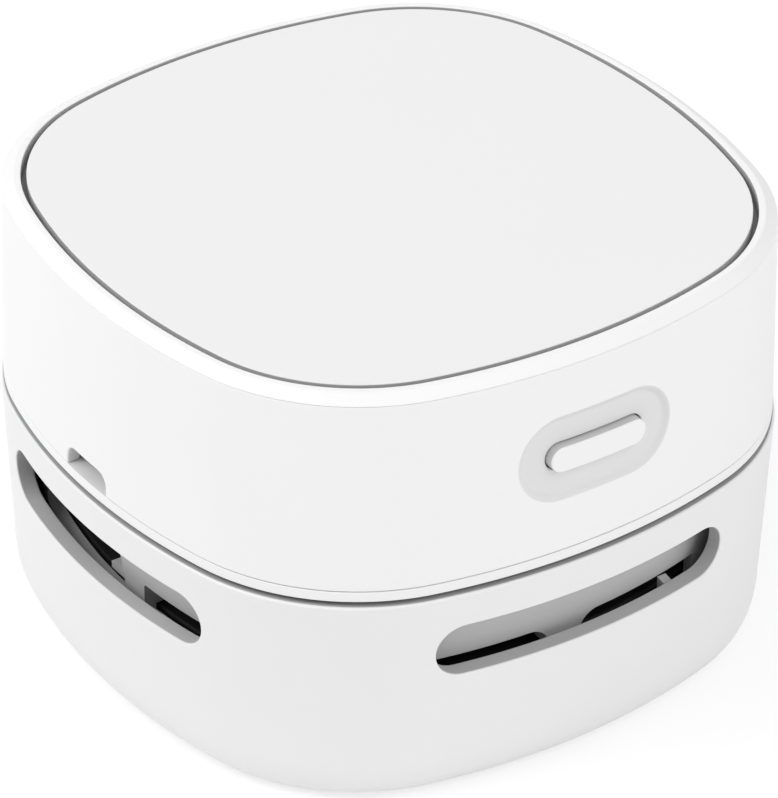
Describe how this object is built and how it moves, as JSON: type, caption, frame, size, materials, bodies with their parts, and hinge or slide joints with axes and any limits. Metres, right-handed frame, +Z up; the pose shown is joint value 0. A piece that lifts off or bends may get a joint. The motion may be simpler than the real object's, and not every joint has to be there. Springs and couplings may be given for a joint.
{
  "type": "desktop mini vacuum cleaner",
  "caption": "Palm-sized desktop vacuum with a push button on the front, a side charging notch, exhaust slots in a pull-off dust cup, lift-out filter, motor, fan and battery.",
  "frame": {"origin": "centre of the bottom, on the plane that the four feet rest on", "axes": "+Z up, -Y towards the side with the button, -X towards the side with the charging notch"},
  "size_m": [0.086, 0.086, 0.0572],
  "materials": {
    "shell_white": "fine satin moulded white",
    "panel_white": "matt white top panel",
    "skirt_grey": "matt off-white moulding",
    "dark_plastic": "black moulded plastic",
    "rubber": "soft black rubber",
    "steel": "plated steel",
    "brass": "plain brass",
    "board_green": "green lacquered board",
    "cell_wrap": "shrink sleeve",
    "bristle": "dark nylon bristle",
    "felt": "white filter felt",
    "wire_red": "red insulation",
    "wire_black": "black insulation"
  },
  "bodies": {
    "dust_cup": {"dust_shell": "shell_white", "inlet_frame": "dark_plastic", "brush_front": "bristle", "brush_rear": "bristle", "foot_1": "rubber", "foot_2": "rubber", "foot_3": "rubber", "foot_4": "rubber"},
    "filter": {"filter_frame": "dark_plastic", "filter_cloth": "felt", "filter_gasket": "rubber"},
    "motor_unit": {"base_plate": "skirt_grey", "fan_cover": "dark_plastic", "upper_shell": "shell_white", "top_trim": "shell_white", "top_panel": "panel_white", "motor_can": "steel", "motor_end_cap": "dark_plastic", "motor_damper": "rubber", "motor_terminal_1": "brass", "motor_terminal_2": "brass", "motor_screw_1": "steel", "motor_screw_2": "steel", "battery_holder": "dark_plastic", "battery_cell": "cell_wrap", "battery_tab_1": "steel", "battery_tab_2": "steel", "control_board": "board_green", "control_chip": "dark_plastic", "charge_socket": "steel", "switch_board": "board_green", "switch_body": "dark_plastic", "switch_board_screw_1": "steel", "switch_board_screw_2": "steel", "case_screw_1": "steel", "case_screw_2": "steel", "case_screw_3": "steel", "case_screw_4": "steel", "fan_cover_screw_1": "steel", "fan_cover_screw_2": "steel", "fan_cover_screw_3": "steel", "fan_cover_screw_4": "steel", "motor_lead_1": "wire_black", "motor_lead_2": "wire_red", "battery_lead_1": "wire_black", "battery_lead_2": "wire_red", "switch_lead_1": "wire_black", "switch_lead_2": "wire_red"},
    "rotor": {"motor_shaft": "steel", "impeller": "dark_plastic"},
    "power_button": {"power_button": "shell_white"},
    "switch_plunger": {"switch_plunger": "rubber"}
  },
  "joints": [
    {"name": "motor_unit_lift", "type": "slide", "parent": "dust_cup", "child": "motor_unit", "axis": [0, 0, 1], "range_m": [0, 0.03]},
    {"name": "filter_lift", "type": "slide", "parent": "dust_cup", "child": "filter", "axis": [0, 0, 1], "range_m": [0, 0.021]},
    {"name": "impeller_spin", "type": "hinge", "parent": "motor_unit", "child": "rotor", "pos_m": [0, 0, 0.02362], "axis": [0, 0, 1], "continuous": true},
    {"name": "power_button_press", "type": "slide", "parent": "motor_unit", "child": "power_button", "axis": [0, 1, 0], "range_m": [0, 0.0006], "stiffness_N_per_m": 1500},
    {"name": "switch_plunger_press", "type": "slide", "parent": "motor_unit", "child": "switch_plunger", "axis": [0, 1, 0], "range_m": [0, 0.0006]}
  ],
  "couplings": [
    {"joint": "filter_lift", "follows": "motor_unit_lift", "ratio": 0.7},
    {"joint": "switch_plunger_press", "follows": "power_button_press", "ratio": 1}
  ]
}
